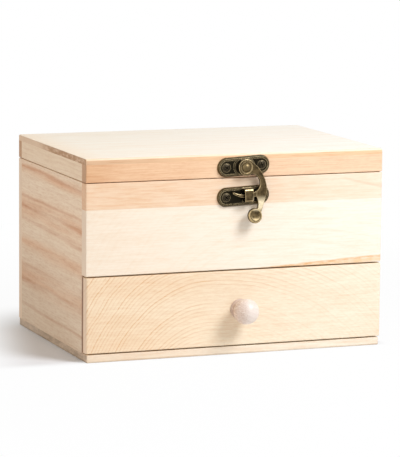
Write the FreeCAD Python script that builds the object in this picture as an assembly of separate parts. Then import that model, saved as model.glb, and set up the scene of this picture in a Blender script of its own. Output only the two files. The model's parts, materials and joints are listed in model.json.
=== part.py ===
import FreeCAD, Part
import math
import os

# A small bare-wood paint box: a deep compartment under a hinged lid, held shut by a horn-shaped
# swing latch, standing over one shallow drawer with a turned wooden knob.
# Millimetres. X runs to the right, the front faces -Y, Z is up.
# The origin is the middle of the underside of the base.

# ---- the shut box
box_width = 160.0
box_depth = 112.0
box_height = 102.1

# ---- boards
board = 6.0
base_thick = 4.0
base_inset = 0.6
ply = 3.0
lid_height = 11.9
lid_panel = 3.0
drawer_board = 5.0
drawer_front_height = 38.0
drawer_rim_drop = 3.4
groove_depth = 2.0
floor_rise = 2.6
bottom_rise = 2.0

# ---- gaps and fits
lid_seam = 0.4
drawer_gap = 0.7
drawer_end_gap = 2.2
drawer_play = 0.5
drawer_lift = 0.3
shut_gap = 0.6
groove_play = 0.1
screw_play = 0.05
turn_play = 0.06
face_play = 0.1

# ---- eased and sanded edges
corner_round = 0.6
back_round = 1.4
drawer_round = 1.2
lid_nose = 1.5
edge_ease = 0.4
nib = 0.15

# ---- the fittings, a little right of the middle
latch_x = 3.25
knob_x = 2.0

# ---- horn latch
plate_length = 28.4
plate_height = 9.9
plate_rise = 1.4
plate_sheet = 0.7
plate_taper = 0.7
rim_width = 0.7
rim_depth = 0.2
pocket_taper = 0.1
plate_screw_inset = 4.75
latch_drop = 0.35
latch_lean = 3.2
pad_length = 11.8
pad_height = 8.4
pad_rise = 0.8
pad_taper = 0.5
pad_round = 0.3
pad_wall = 1.05
catch_drop = 15.15
catch_lean = 2.5
strap_x = 1.45
strap_width = 4.6
strap_height = 6.8
strap_clear = 0.75
strap_sheet = 0.9
strap_round = 1.5
strap_lift = 0.75
strap_ease = 0.25

# ---- swinging hook
hook_thick = 2.0
hook_round = 0.45
eye_radius = 4.2
eye_rim = 1.1
eye_dish = 0.3
horn_reach = 11.2
horn_drop = 12.0
horn_shoulder_bow = 2.1
horn_tail_bow = 0.45
horn_throat_bow = 1.05
horn_neck_bow = 0.6
horn_armpit_bow = 1.25
horn_neck = 3.7
horn_neck_drop = 8.2
crown_angle = 135.0
armpit_angle = 39.0
heel_angle = 115.0
throat_angle = 160.0
crank_drop = 17.0
crank_angle = 14.0
crank_round = 5.0
tooth_sag = 0.5
tooth_shoulder = 5.4
tooth_root = 1.3
tooth_tip = 0.45
tooth_nose_angle = 1.6
tooth_thick = 1.7
tooth_ease = 0.3
tooth_root_angle = 24.0
tooth_tip_angle = 28.0
thumb_radius = 3.85
thumb_bulge = 0.6
thumb_edge = 0.72
thumb_rim = 1.25
thumb_dish = 0.4
thumb_x = 4.05
thumb_drop = 24.7

# ---- pivot rivet
pivot_side = 0.35
pivot_drop = 0.35
rivet_radius = 1.2
rivet_head_radius = 2.1
rivet_dome = 1.1
rivet_tail_radius = 1.9
rivet_tail = 0.4

# ---- hinges
hinge_spread = 45.0
leaf_length = 18.0
leaf_height = 8.0
leaf_thick = 0.8
leaf_round = 1.0
leaf_ease = 0.2
knuckle_radius = 1.6
knuckle_stand = 0.2
knuckle_split = 0.2
knuckle_clear = 0.3
pin_radius = 0.8
pin_cap_radius = 1.1
pin_cap = 0.4
hinge_screw_spread = 5.5
hinge_screw_rise = 4.9

# ---- screws
plate_screw_shank = 0.9
plate_screw_length = 5.0
hinge_screw_shank = 0.7
hinge_screw_length = 4.4
crown_share = 0.24
cross_share = 0.62
slot_share = 0.13
slot_turn = 37.0
knob_screw_head = 3.2
knob_screw_head_height = 2.0
knob_screw_round = 1.2
knob_screw_recess = 1.1
knob_screw_shank = 1.5
knob_screw_bite = 9.0

# ---- turned knob
knob_drop = 0.5
knob_flange = 5.2
knob_flange_height = 0.7
knob_flange_ease = 0.2
knob_waist = 4.3
knob_waist_at = 3.1
knob_radius = 6.5
knob_widest_at = 9.0
knob_length = 15.0
knob_crown_ease = 0.75
knob_shoulder = 5.4
knob_shoulder_at = 5.6

# ---- planes that follow from the sizes
left = -box_width / 2
right = box_width / 2
front = -box_depth / 2
back = box_depth / 2
inside_x = box_width / 2 - board
inside_front = front + board
inside_back = back - board
lid_bottom = box_height - lid_height
lid_rail_top = box_height - lid_panel
body_top = lid_bottom - lid_seam
drawer_bottom_edge = base_thick + drawer_gap
drawer_top_edge = drawer_bottom_edge + drawer_front_height
panel_bottom = drawer_top_edge + drawer_gap
floor_z = panel_bottom + floor_rise
drawer_x = inside_x - drawer_play
drawer_face = front - shut_gap
drawer_inner_face = inside_front - shut_gap
drawer_low = base_thick + drawer_lift
drawer_rear = inside_back - drawer_end_gap
drawer_rim = drawer_top_edge - drawer_rim_drop
drawer_floor_z = drawer_low + bottom_rise
knob_z = drawer_bottom_edge + drawer_front_height / 2 - knob_drop
pin_y = back + knuckle_stand + knuckle_radius
pin_z = (lid_bottom + body_top) / 2
latch_z = (lid_bottom + box_height) / 2 - latch_drop
catch_z = latch_z - catch_drop
plate_face = front - plate_rise + rim_depth
pad_face = plate_face - pad_rise
hook_back = pad_face - face_play
hook_face = hook_back - hook_thick
strap_crown = hook_back - (hook_thick + tooth_thick) / 2 - strap_clear
pivot_x = latch_x + pivot_side
pivot_z = latch_z - pivot_drop
tooth_radius = pivot_z - catch_z - strap_lift + tooth_sag
eye_dish_radius = eye_radius - eye_rim
thumb_dish_radius = thumb_radius - thumb_rim
plate_screw_spread = plate_length / 2 - plate_screw_inset
plate_screw_head = plate_screw_shank + plate_rise - rim_depth
hinge_screw_head = hinge_screw_shank + leaf_thick


def at(x, y, z):
    """A point of the box."""
    return FreeCAD.Vector(x, y, z)


def block(x0, x1, y0, y1, z0, z1):
    """A square-edged board between six planes."""
    return Part.makeBox(x1 - x0, y1 - y0, z1 - z0, at(x0, y0, z0))


def lying_on(x=None, y=None, z=None):
    """A test that picks the edges lying on the given planes."""
    def test(edge):
        box = edge.BoundBox
        spans = ((x, box.XMin, box.XMax), (y, box.YMin, box.YMax), (z, box.ZMin, box.ZMax))
        return all(p is None or max(abs(low - p), abs(high - p)) < 0.01 for p, low, high in spans)
    return test


def rounded(shape, radius, *tests):
    """Round every edge that passes one of the tests."""
    return shape.makeFillet(radius, [edge for edge in shape.Edges if any(test(edge) for test in tests)])


def mirrored(shape):
    """The left-hand piece turned into its right-hand twin."""
    return shape.mirror(at(0, 0, 0), at(1, 0, 0))


def rod(radius, length, x, y, z, direction):
    """A round bar from a point along a direction."""
    return Part.makeCylinder(radius, length, at(x, y, z), direction)


def inward(radius, depth, x, y, z):
    """A round hole or bar running straight back from a front face."""
    return rod(radius, depth, x, y, z, at(0, 1, 0))


def cap(radius, foot, rise):
    """Half the outline of a round cap, domed towards -Y or, for a rise below 0, dished."""
    ball = (radius ** 2 + rise ** 2) / (2 * rise)

    def skin(x):
        return at(x, foot - rise + ball - math.copysign(math.sqrt(ball ** 2 - x ** 2), ball), 0)

    rim = skin(radius)
    end = skin(nib)
    curve = Part.Arc(rim, skin((radius + nib) / 2), end).toShape()
    return [curve, Part.makeLine(end, at(0, end.y, 0))]


def turned(edges, start, end):
    """A solid turned about the Y axis from a half outline that meets the axis at two heights."""
    axis = Part.makeLine(at(0, end, 0), at(0, start, 0))
    return Part.Face(Part.Wire(edges + [axis])).revolve(at(0, 0, 0), at(0, 1, 0), 360)


def floor_slot(y0, y1, half_width, z):
    """The slot that holds a thin floor in a front or back board."""
    return block(-half_width - groove_depth, half_width + groove_depth, y0, y1, z, z + ply)


# ---------------------------------------------------------------- carcass boards

def base_panel():
    """The board the whole box stands on, as deep as the box and a little narrower."""
    half = box_width / 2 - base_inset
    panel = block(-half, half, front, back, 0, base_thick)
    panel = rounded(panel, corner_round, lying_on(x=-half, y=front), lying_on(x=half, y=front),
                    lying_on(x=-half, y=back), lying_on(x=half, y=back))
    return rounded(panel, edge_ease, lying_on(z=0), lying_on(z=base_thick))


def left_side_panel():
    """The left wall, between the front boards and the back, grooved for the compartment floor."""
    wall = block(left, -inside_x, inside_front, inside_back, base_thick, body_top)
    wall = rounded(wall, edge_ease, lying_on(x=left, z=body_top), lying_on(x=-inside_x, z=body_top))
    slot = block(-inside_x - groove_depth, -inside_x, inside_front, inside_back, floor_z, floor_z + ply)
    return wall.cut(slot)


def upper_front_panel():
    """The fixed front board above the drawer, carrying the catch."""
    panel = block(left, right, front, inside_front, panel_bottom, body_top)
    panel = rounded(panel, corner_round, lying_on(x=left, y=front), lying_on(x=right, y=front))
    panel = rounded(panel, edge_ease, lying_on(y=front, z=panel_bottom), lying_on(y=front, z=body_top))
    slot = floor_slot(inside_front - groove_depth, inside_front, inside_x, floor_z)
    return panel.cut(slot).cut(plate_pilot_holes(catch_z, catch_lean))


def back_panel():
    """The full back wall, carrying the lower hinge leaves."""
    panel = block(left, right, inside_back, back, base_thick, body_top)
    panel = rounded(panel, back_round, lying_on(x=left, y=back), lying_on(x=right, y=back))
    panel = rounded(panel, edge_ease, lying_on(y=back, z=body_top), lying_on(y=back, z=base_thick))
    slot = floor_slot(inside_back, inside_back + groove_depth, inside_x, floor_z)
    return panel.cut(slot).cut(hinge_pilot_holes(-1))


def compartment_floor():
    """The thin floor between the compartment and the drawer bay, held in the grooves."""
    reach = groove_depth - groove_play
    return block(-inside_x - reach, inside_x + reach, inside_front - reach, inside_back + reach,
                 floor_z, floor_z + ply)


# ---------------------------------------------------------------- lid boards

def lid_top_panel():
    """The flat top of the lid, its front edge rolled over."""
    panel = block(left, right, front, back, lid_rail_top, box_height)
    panel = rounded(panel, lid_nose, lying_on(y=front, z=box_height))
    panel = rounded(panel, back_round, lying_on(x=left, y=back), lying_on(x=right, y=back))
    return rounded(panel, corner_round, lying_on(x=left, z=box_height))


def lid_front_rail():
    """The front edge strip of the lid, drilled for the latch plate."""
    rail = block(left, right, front, inside_front, lid_bottom, lid_rail_top)
    rail = rounded(rail, corner_round, lying_on(x=left, y=front), lying_on(x=right, y=front))
    rail = rounded(rail, edge_ease, lying_on(y=front, z=lid_bottom))
    return rail.cut(plate_pilot_holes(latch_z, latch_lean))


def lid_back_rail():
    """The back edge strip of the lid, drilled for the upper hinge leaves."""
    rail = block(left, right, inside_back, back, lid_bottom, lid_rail_top)
    rail = rounded(rail, back_round, lying_on(x=left, y=back), lying_on(x=right, y=back))
    rail = rounded(rail, edge_ease, lying_on(y=back, z=lid_bottom))
    return rail.cut(hinge_pilot_holes(1))


def lid_left_rail():
    """The left edge strip of the lid, between the front and back strips."""
    rail = block(left, -inside_x, inside_front, inside_back, lid_bottom, lid_rail_top)
    return rounded(rail, edge_ease, lying_on(x=left, z=lid_bottom), lying_on(x=-inside_x, z=lid_bottom))


# ---------------------------------------------------------------- screws

def countersunk_screw(head, shank, length):
    """A small raised countersunk screw pointing to +Y, its head rim at the origin."""
    sink = head - shank
    dome = head * crown_share
    rim = Part.makeLine(at(head, 0, 0), at(shank, sink, 0))
    side = Part.makeLine(at(shank, sink, 0), at(shank, length - shank, 0))
    tip = Part.makeLine(at(shank, length - shank, 0), at(nib, length, 0))
    end = Part.makeLine(at(nib, length, 0), at(0, length, 0))
    crown = cap(head, 0, dome)
    screw = turned([end, tip, side, rim] + crown, length, crown[1].Vertexes[1].Y)
    return screw.cut(cross_recess(head, -head, dome))


def cross_recess(head, y0, y1):
    """The cross a screwdriver turns a screw by, for a head of the given radius."""
    arm = head * cross_share
    slot = head * slot_share
    return block(-arm, arm, y0, y1, -slot, slot).fuse(block(-slot, slot, y0, y1, -arm, arm))


def countersunk_hole(head, shank, depth):
    """The hole such a screw sits in, cut with running clearance."""
    wide = head + screw_play
    cone = Part.makeCone(wide, shank, wide - shank, at(0, 0, 0), at(0, 1, 0))
    mouth = inward(wide, rim_depth, 0, -rim_depth, 0)
    return cone.fuse([inward(shank + screw_play, depth, 0, 0, 0), mouth])


def placed(shape, x, y, z, turn=0.0, flip=False):
    """A copy of a screw or hole turned about its own axis and set at a point."""
    copy = shape.copy()
    copy.rotate(at(0, 0, 0), at(0, 1, 0), turn)
    if flip:
        copy.rotate(at(0, 0, 0), at(0, 0, 1), 180)
    copy.translate(at(x, y, z))
    return copy


def plate_screw_points(plate_z, lean):
    """Where the two screws of a leaning latch plate stand."""
    along = plate_screw_spread * math.cos(math.radians(lean))
    up = plate_screw_spread * math.sin(math.radians(lean))
    return [(latch_x - along, plate_z - up), (latch_x + along, plate_z + up)]


def plate_pilot_holes(plate_z, lean):
    """Pilot holes for one latch plate's screws."""
    depth = plate_screw_length - plate_rise + rim_depth + screw_play
    return Part.makeCompound([inward(plate_screw_shank + screw_play, depth, x, front, z)
                              for x, z in plate_screw_points(plate_z, lean)])


def plate_screws(plate_z, lean):
    """The two screws that hold one latch plate."""
    screw = countersunk_screw(plate_screw_head, plate_screw_shank, plate_screw_length)
    return Part.makeCompound([placed(screw, x, plate_face, z, slot_turn * n)
                              for n, (x, z) in enumerate(plate_screw_points(plate_z, lean), 1)])


def hinge_screw_points(side):
    """Where the four screws of the two lower (-1) or upper (+1) hinge leaves stand."""
    return [(hinge * hinge_spread + s * hinge_screw_spread, pin_z + side * hinge_screw_rise)
            for hinge in (-1, 1) for s in (-1, 1)]


def hinge_pilot_holes(side):
    """Pilot holes for one row of hinge screws."""
    depth = hinge_screw_length - leaf_thick + screw_play
    return Part.makeCompound([rod(hinge_screw_shank + screw_play, depth, x, back, z, at(0, -1, 0))
                              for x, z in hinge_screw_points(side)])


def hinge_screws(side):
    """The four screws of the two lower (-1) or upper (+1) hinge leaves."""
    screw = countersunk_screw(hinge_screw_head, hinge_screw_shank, hinge_screw_length)
    return Part.makeCompound([placed(screw, x, back + leaf_thick, z, slot_turn * n, True)
                              for n, (x, z) in enumerate(hinge_screw_points(side), 1)])


# ---------------------------------------------------------------- horn latch

def bar_outline(length, height, y):
    """A bar with round ends, drawn about the origin in the plane at depth y."""
    r = height / 2
    h = length / 2 - r
    low = Part.makeLine(at(-h, y, -r), at(h, y, -r))
    end = Part.Arc(at(h, y, -r), at(h + r, y, 0), at(h, y, r)).toShape()
    top = Part.makeLine(at(h, y, r), at(-h, y, r))
    start = Part.Arc(at(-h, y, r), at(-h - r, y, 0), at(-h, y, -r)).toShape()
    return Part.Wire([low, end, top, start])


def pressed_bar(length, height, y0, y1, taper):
    """A round-ended bar between two depths, narrowing towards the second."""
    wide = bar_outline(length, height, y0)
    narrow = bar_outline(length - 2 * taper, height - 2 * taper, y1)
    return Part.makeLoft([wide, narrow], True, True)


def pressed_plate():
    """The dished sheet-metal plate both halves of the latch share, about its own middle."""
    outer_y = front - plate_rise
    shell = pressed_bar(plate_length, plate_height, front, outer_y, plate_taper)
    shell = rounded(shell, rim_depth, lying_on(y=outer_y))
    inset = 2 * (plate_taper + rim_width)
    pocket = pressed_bar(plate_length - inset, plate_height - inset, outer_y, plate_face, pocket_taper)
    hollow = pressed_bar(plate_length - 2 * plate_sheet, plate_height - 2 * plate_sheet,
                         front, plate_face + plate_sheet, plate_taper)
    return shell.cut(pocket).cut(hollow)


def leaned(plate, plate_z, lean):
    """A finished latch plate, leaned about its middle and set in its place."""
    plate.rotate(at(0, 0, 0), at(0, -1, 0), lean)
    plate.translate(at(latch_x, 0, plate_z))
    return plate


def drilled(plate):
    """A latch plate with its two countersunk screw holes."""
    hole = countersunk_hole(plate_screw_head, plate_screw_shank, plate_screw_length)
    return plate.cut(placed(hole, -plate_screw_spread, plate_face, 0)).cut(
        placed(hole, plate_screw_spread, plate_face, 0))


def latch_plate():
    """The leaning plate on the lid, with the raised pad the hook turns on."""
    pad = pressed_bar(pad_length, pad_height, plate_face + plate_sheet, pad_face, pad_taper)
    pad = rounded(pad, pad_round, lying_on(y=pad_face))
    under = pressed_bar(pad_length - 2 * pad_wall, pad_height - 2 * pad_wall,
                        front, pad_face + plate_sheet, pad_taper)
    plate = leaned(drilled(pressed_plate().fuse(pad).cut(under)).removeSplitter(), latch_z, latch_lean)
    return plate.cut(inward(rivet_radius + screw_play, front - pad_face + pad_rise,
                            pivot_x, pad_face - pad_rise, pivot_z))


def catch_plate():
    """The plate on the body, with the strap the hook's tooth passes through."""
    top = strap_height / 2
    face = strap_crown - strap_sheet
    outer = block(strap_x - strap_width / 2, strap_x + strap_width / 2, face,
                  plate_face + plate_sheet / 2, -top, top)
    outer = rounded(outer, strap_round, lying_on(y=face, z=top), lying_on(y=face, z=-top))
    clear = top - strap_sheet
    eye = block(strap_x - strap_width, strap_x + strap_width, strap_crown, plate_face + plate_sheet,
                -clear, clear)
    eye = rounded(eye, strap_round - strap_sheet, lying_on(y=strap_crown, z=clear),
                  lying_on(y=strap_crown, z=-clear))
    strap = outer.cut(eye)
    strap = rounded(strap, strap_ease, lying_on(x=strap_x - strap_width / 2),
                    lying_on(x=strap_x + strap_width / 2))
    strap.translate(at(0, 0, strap_lift))
    return leaned(drilled(pressed_plate()).fuse(strap).removeSplitter(), catch_z, catch_lean)


def swung(radius, degrees, y):
    """A point round the rivet, its angle measured from straight down towards +X."""
    swing = math.radians(degrees)
    return at(radius * math.sin(swing), y, -radius * math.cos(swing))


def bowed(start, end, bow):
    """An arc between two points of the hook's plane that bows to its left by the given rise."""
    across = (start - end).cross(at(0, 1, 0)).normalize()
    return Part.Arc(start, (start + end) / 2 + across * bow, end).toShape()


def bent_strip():
    """The thickness of the arm from the side: upright, then bent outward below the tooth."""
    bend = math.radians(crank_angle)
    outer_round = crank_round + hook_thick
    fold = outer_round * math.tan(bend / 2)
    hub = at(-2 * horn_reach, hook_face - crank_round, fold - crank_drop)
    up = at(0, 0, thumb_drop)
    down = at(0, -math.sin(bend), -math.cos(bend)) * thumb_drop

    def on_bend(radius, angle):
        return hub + at(0, radius * math.cos(angle), -radius * math.sin(angle))

    def skin(radius):
        start = on_bend(radius, 0)
        end = on_bend(radius, bend)
        curve = Part.Arc(start, on_bend(radius, bend / 2), end).toShape()
        return [Part.makeLine(start + up, start), curve, Part.makeLine(end, end + down)]

    ends = [Part.makeLine(on_bend(outer_round, angle) + away, on_bend(crank_round, angle) + away)
            for angle, away in ((0, up), (bend, down))]
    outline = Part.Wire(Part.__sortEdges__(skin(outer_round) + skin(crank_round) + ends))
    return Part.Face(outline).extrude(at(4 * horn_reach, 0, 0))


def follows_outline(edge):
    """Whether an edge of the arm runs along its outline, neither through it nor straight across."""
    ends = [corner.Point for corner in edge.Vertexes]
    return abs(ends[0].z - ends[-1].z) > nib


def hook_arm():
    """The horn-shaped arm from the eye down to the thumb piece, about the rivet."""
    def tooth_corner(radius):
        return at(tooth_shoulder, hook_back, -math.sqrt(radius ** 2 - tooth_shoulder ** 2))

    thumb = at(thumb_x, 0, -thumb_drop)
    crown = swung(eye_radius - hook_round / 2, crown_angle, hook_back)
    elbow = at(horn_reach, hook_back, -horn_drop)
    heel = thumb + swung(thumb_radius - hook_round / 2, heel_angle, hook_back)
    throat = thumb + swung(thumb_radius - hook_round / 2, throat_angle, hook_back)
    tooth_low = tooth_corner(tooth_radius + tooth_root)
    tooth_high = tooth_corner(tooth_radius - tooth_root)
    neck = at(horn_reach - horn_neck, hook_back, -horn_neck_drop)
    armpit = swung(eye_radius - hook_round / 2, armpit_angle, hook_back)
    outline = [bowed(crown, elbow, -horn_shoulder_bow),
               bowed(elbow, heel, -horn_tail_bow),
               Part.makeLine(heel, throat),
               bowed(throat, tooth_low, horn_throat_bow),
               Part.makeLine(tooth_low, tooth_high),
               bowed(tooth_high, neck, horn_neck_bow),
               bowed(neck, armpit, horn_armpit_bow),
               Part.makeLine(armpit, crown)]
    arm = Part.Face(Part.Wire(outline)).extrude(at(0, -thumb_drop, 0)).common(bent_strip())
    return rounded(arm, hook_round, follows_outline)


def hook_tooth():
    """The pointed tooth, curved about the rivet so that it slides through the strap."""
    low = hook_back - (hook_thick - tooth_thick) / 2
    half = (tooth_root + tooth_tip) / 2
    halfway = (tooth_root_angle - tooth_tip_angle) / 2
    root_in = swung(tooth_radius - tooth_root, tooth_root_angle, low)
    root_out = swung(tooth_radius + tooth_root, tooth_root_angle, low)
    tip_in = swung(tooth_radius - tooth_tip, -tooth_tip_angle, low)
    tip_out = swung(tooth_radius + tooth_tip, -tooth_tip_angle, low)
    point = swung(tooth_radius, -tooth_tip_angle - tooth_nose_angle, low)
    inner = Part.Arc(root_in, swung(tooth_radius - half, halfway, low), tip_in).toShape()
    nose = Part.Arc(tip_in, point, tip_out).toShape()
    outer = Part.Arc(tip_out, swung(tooth_radius + half, halfway, low), root_out).toShape()
    root = Part.makeLine(root_out, root_in)
    tooth = Part.Face(Part.Wire([inner, nose, outer, root])).extrude(at(0, -tooth_thick, 0))
    return rounded(tooth, tooth_ease, lying_on(y=low), lying_on(y=low - tooth_thick))


def hook_eye():
    """The round eye of the hook, dished round the rivet head."""
    eye = rod(eye_radius, hook_thick, 0, hook_back, 0, at(0, -1, 0))
    eye = rounded(eye, hook_round, lying_on(y=hook_face), lying_on(y=hook_back))
    return eye.cut(Part.makeCone(eye_dish_radius - eye_dish, eye_dish_radius, eye_dish,
                                 at(0, hook_face + eye_dish, 0), at(0, -1, 0)))


def thumb_piece():
    """The round dished button at the end of the hook, pressed by the thumb."""
    face = -hook_thick - thumb_bulge
    flat = thumb_radius - thumb_edge
    back_line = Part.makeLine(at(0, 0, 0), at(flat, 0, 0))
    belly = Part.Arc(at(flat, 0, 0), at(thumb_radius, face / 2, 0), at(flat, face, 0)).toShape()
    rim = Part.makeLine(at(flat, face, 0), at(thumb_dish_radius, face, 0))
    dish = cap(thumb_dish_radius, face, -thumb_dish)
    button = turned([back_line, belly, rim] + dish, 0, dish[1].Vertexes[1].Y)
    button.rotate(at(0, 0, 0), at(1, 0, 0), -crank_angle)
    stand = (thumb_drop - crank_drop) * math.tan(math.radians(crank_angle))
    button.translate(at(thumb_x, hook_back - stand, -thumb_drop))
    return button


def latch_hook():
    """The whole swinging hook, cast in one: eye, arm, tooth and the bent-out thumb piece."""
    arm = hook_arm().cut(rod(eye_dish_radius, eye_dish, 0, hook_face + eye_dish, 0, at(0, -1, 0)))
    hook = hook_eye().fuse([arm, hook_tooth(), thumb_piece()]).removeSplitter()
    hook = hook.cut(inward(rivet_radius + turn_play, 2 * hook_thick, 0, hook_face - hook_thick / 2, 0))
    hook.translate(at(pivot_x, 0, pivot_z))
    return hook


def pivot_rivet():
    """The domed rivet that holds the hook to its plate."""
    seat = hook_face + eye_dish - face_play
    tail = pad_face + plate_sheet
    shank = rod(rivet_radius, tail - seat, 0, tail, 0, at(0, -1, 0))
    clench = rod(rivet_tail_radius, rivet_tail, 0, tail + rivet_tail, 0, at(0, -1, 0))
    foot = Part.makeLine(at(0, 0, 0), at(rivet_head_radius, 0, 0))
    crown = cap(rivet_head_radius, 0, rivet_dome)
    head = turned([foot] + crown, 0, crown[1].Vertexes[1].Y)
    head.translate(at(0, seat, 0))
    rivet = shank.fuse([clench, head]).removeSplitter()
    rivet.translate(at(pivot_x, 0, pivot_z))
    return rivet


# ---------------------------------------------------------------- hinges

def knuckle_spans(side):
    """Where one leaf's knuckles run: the two outer ones below (-1), the middle one above (+1)."""
    end = leaf_length / 2
    split = leaf_length / 6
    if side > 0:
        return [(-split + knuckle_split / 2, split - knuckle_split / 2)]
    return [(-end, -split - knuckle_split / 2), (split + knuckle_split / 2, end)]


def hinge_leaf(hinge, side):
    """One leaf of the left (-1) or right (+1) hinge, below (-1) or above (+1) the lid seam."""
    far = pin_z + side * leaf_height
    end = leaf_length / 2
    leaf = block(-end, end, back, back + leaf_thick, min(pin_z, far), max(pin_z, far))
    leaf = rounded(leaf, leaf_round, lying_on(x=-end, z=far), lying_on(x=end, z=far))
    leaf = rounded(leaf, leaf_ease, lying_on(y=back + leaf_thick, z=far),
                   lying_on(x=-end, y=back + leaf_thick), lying_on(x=end, y=back + leaf_thick))
    along = at(1, 0, 0)
    for x0, x1 in knuckle_spans(-side):
        long = x1 - x0 + 2 * knuckle_split
        leaf = leaf.cut(rod(knuckle_radius + knuckle_clear, long, x0 - knuckle_split, pin_y, pin_z, along))
    for x0, x1 in knuckle_spans(side):
        leaf = leaf.fuse(rod(knuckle_radius, x1 - x0, x0, pin_y, pin_z, along))
    bore = rod(pin_radius + screw_play, 2 * leaf_length, -leaf_length, pin_y, pin_z, along)
    leaf = leaf.removeSplitter().cut(bore)
    hole = countersunk_hole(hinge_screw_head, hinge_screw_shank, hinge_screw_length)
    for s in (-1, 1):
        leaf = leaf.cut(placed(hole, s * hinge_screw_spread, back + leaf_thick,
                               pin_z + side * hinge_screw_rise, 0, True))
    leaf.translate(at(hinge * hinge_spread, 0, 0))
    return leaf


def hinge_pin(hinge):
    """The headed pin of the left (-1) or right (+1) hinge."""
    end = leaf_length / 2 + face_play
    pin = rod(pin_radius, 2 * end, -end, pin_y, pin_z, at(1, 0, 0))
    head = rod(pin_cap_radius, pin_cap, end, pin_y, pin_z, at(1, 0, 0))
    pin = pin.fuse([head, mirrored(head)]).removeSplitter()
    pin.translate(at(hinge * hinge_spread, 0, 0))
    return pin


# ---------------------------------------------------------------- drawer

def drawer_front():
    """The drawer's face, as wide as the box, closing over the ends of the side walls."""
    face = block(left, right, drawer_face, drawer_inner_face, drawer_bottom_edge, drawer_top_edge)
    face = rounded(face, drawer_round, lying_on(x=left, y=drawer_face), lying_on(x=right, y=drawer_face))
    face = rounded(face, edge_ease, lying_on(y=drawer_face, z=drawer_bottom_edge),
                   lying_on(y=drawer_face, z=drawer_top_edge))
    half = drawer_x - drawer_board
    slot = floor_slot(drawer_inner_face - groove_depth, drawer_inner_face, half, drawer_floor_z)
    bore = inward(knob_screw_shank + face_play, board, knob_x, drawer_face, knob_z)
    return face.cut(slot).cut(bore)


def drawer_left_side():
    """The drawer's left side, grooved for the bottom and trenched for the back."""
    inner = -drawer_x + drawer_board
    side = block(-drawer_x, inner, drawer_inner_face, drawer_rear, drawer_low, drawer_rim)
    side = rounded(side, edge_ease, lying_on(x=-drawer_x, z=drawer_rim), lying_on(x=inner, z=drawer_rim),
                   lying_on(x=-drawer_x, y=drawer_rear))
    slot = block(inner - groove_depth, inner, drawer_inner_face, drawer_rear - drawer_board + groove_depth,
                 drawer_floor_z, drawer_floor_z + ply)
    return side.cut(slot)


def drawer_back():
    """The drawer's back, between its sides."""
    half = drawer_x - drawer_board
    inner = drawer_rear - drawer_board
    wall = block(-half, half, inner, drawer_rear, drawer_low, drawer_rim)
    wall = rounded(wall, edge_ease, lying_on(y=inner, z=drawer_rim), lying_on(y=drawer_rear, z=drawer_rim))
    return wall.cut(block(-half, half, inner, inner + groove_depth, drawer_floor_z, drawer_floor_z + ply))


def drawer_bottom():
    """The thin bottom of the drawer, held in grooves on all four sides."""
    reach = groove_depth - groove_play
    half = drawer_x - drawer_board + reach
    return block(-half, half, drawer_inner_face - reach, drawer_rear - drawer_board + reach,
                 drawer_floor_z, drawer_floor_z + ply)


def drawer_knob():
    """The turned wooden knob: a small foot, a waist and a flattened ball."""
    foot = knob_flange_height
    flat = knob_flange - knob_flange_ease
    base = Part.makeLine(at(0, 0, 0), at(flat, 0, 0))
    foot_edge = Part.Arc(at(flat, 0, 0), at(knob_flange, -foot / 2, 0), at(flat, -foot, 0)).toShape()
    widest = at(knob_radius, -knob_widest_at, 0)
    shoulder = at(knob_shoulder, -knob_shoulder_at, 0)
    rise = knob_widest_at - knob_shoulder_at
    step = knob_radius - knob_shoulder
    ball = (rise ** 2 + step ** 2) / (2 * step)
    half = math.asin(rise / ball) / 2
    middle = at(knob_radius - ball + ball * math.cos(half), -knob_widest_at + ball * math.sin(half), 0)
    neck = Part.Arc(at(flat, -foot, 0), at(knob_waist, -knob_waist_at, 0), shoulder).toShape()
    cheek = Part.Arc(shoulder, middle, widest).toShape()
    temple_round = knob_length - knob_widest_at - knob_crown_ease
    inset = knob_radius - temple_round
    deep = (inset ** 2 - knob_crown_ease ** 2) / (2 * knob_crown_ease)
    crown_round = temple_round + knob_crown_ease + deep

    def temple(angle):
        out = inset + temple_round * math.cos(angle)
        return at(out, -knob_widest_at - temple_round * math.sin(angle), 0)

    def crown(x):
        return at(x, -knob_widest_at + deep - math.sqrt(crown_round ** 2 - x ** 2), 0)

    turn = math.atan2(deep, inset)
    brow = temple(turn)
    tip = crown(nib)
    side = Part.Arc(widest, temple(turn / 2), brow).toShape()
    top = Part.Arc(brow, crown((brow.x + nib) / 2), tip).toShape()
    end = Part.makeLine(tip, at(0, tip.y, 0))
    knob = turned([base, foot_edge, neck, cheek, side, top, end], 0, tip.y)
    knob = knob.cut(rod(knob_screw_shank + screw_play, knob_screw_bite + face_play, 0, 0, 0, at(0, -1, 0)))
    knob.translate(at(knob_x, drawer_face, knob_z))
    return knob


def knob_screw():
    """The pan-head screw put in from inside the drawer to hold the knob."""
    top = knob_screw_head_height
    head = rod(knob_screw_head, top, 0, 0, 0, at(0, 1, 0))
    head = rounded(head, knob_screw_round, lying_on(y=top))
    head = head.cut(cross_recess(knob_screw_head, top - knob_screw_recess, top))
    reach = board + knob_screw_bite
    shank = rod(knob_screw_shank, reach - knob_screw_shank, 0, 0, 0, at(0, -1, 0))
    tip = Part.makeCone(knob_screw_shank, nib, knob_screw_shank, at(0, knob_screw_shank - reach, 0),
                        at(0, -1, 0))
    screw = head.fuse([shank, tip]).removeSplitter()
    screw.translate(at(knob_x, drawer_inner_face, knob_z))
    return screw


# ---------------------------------------------------------------- every piece by name

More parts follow.
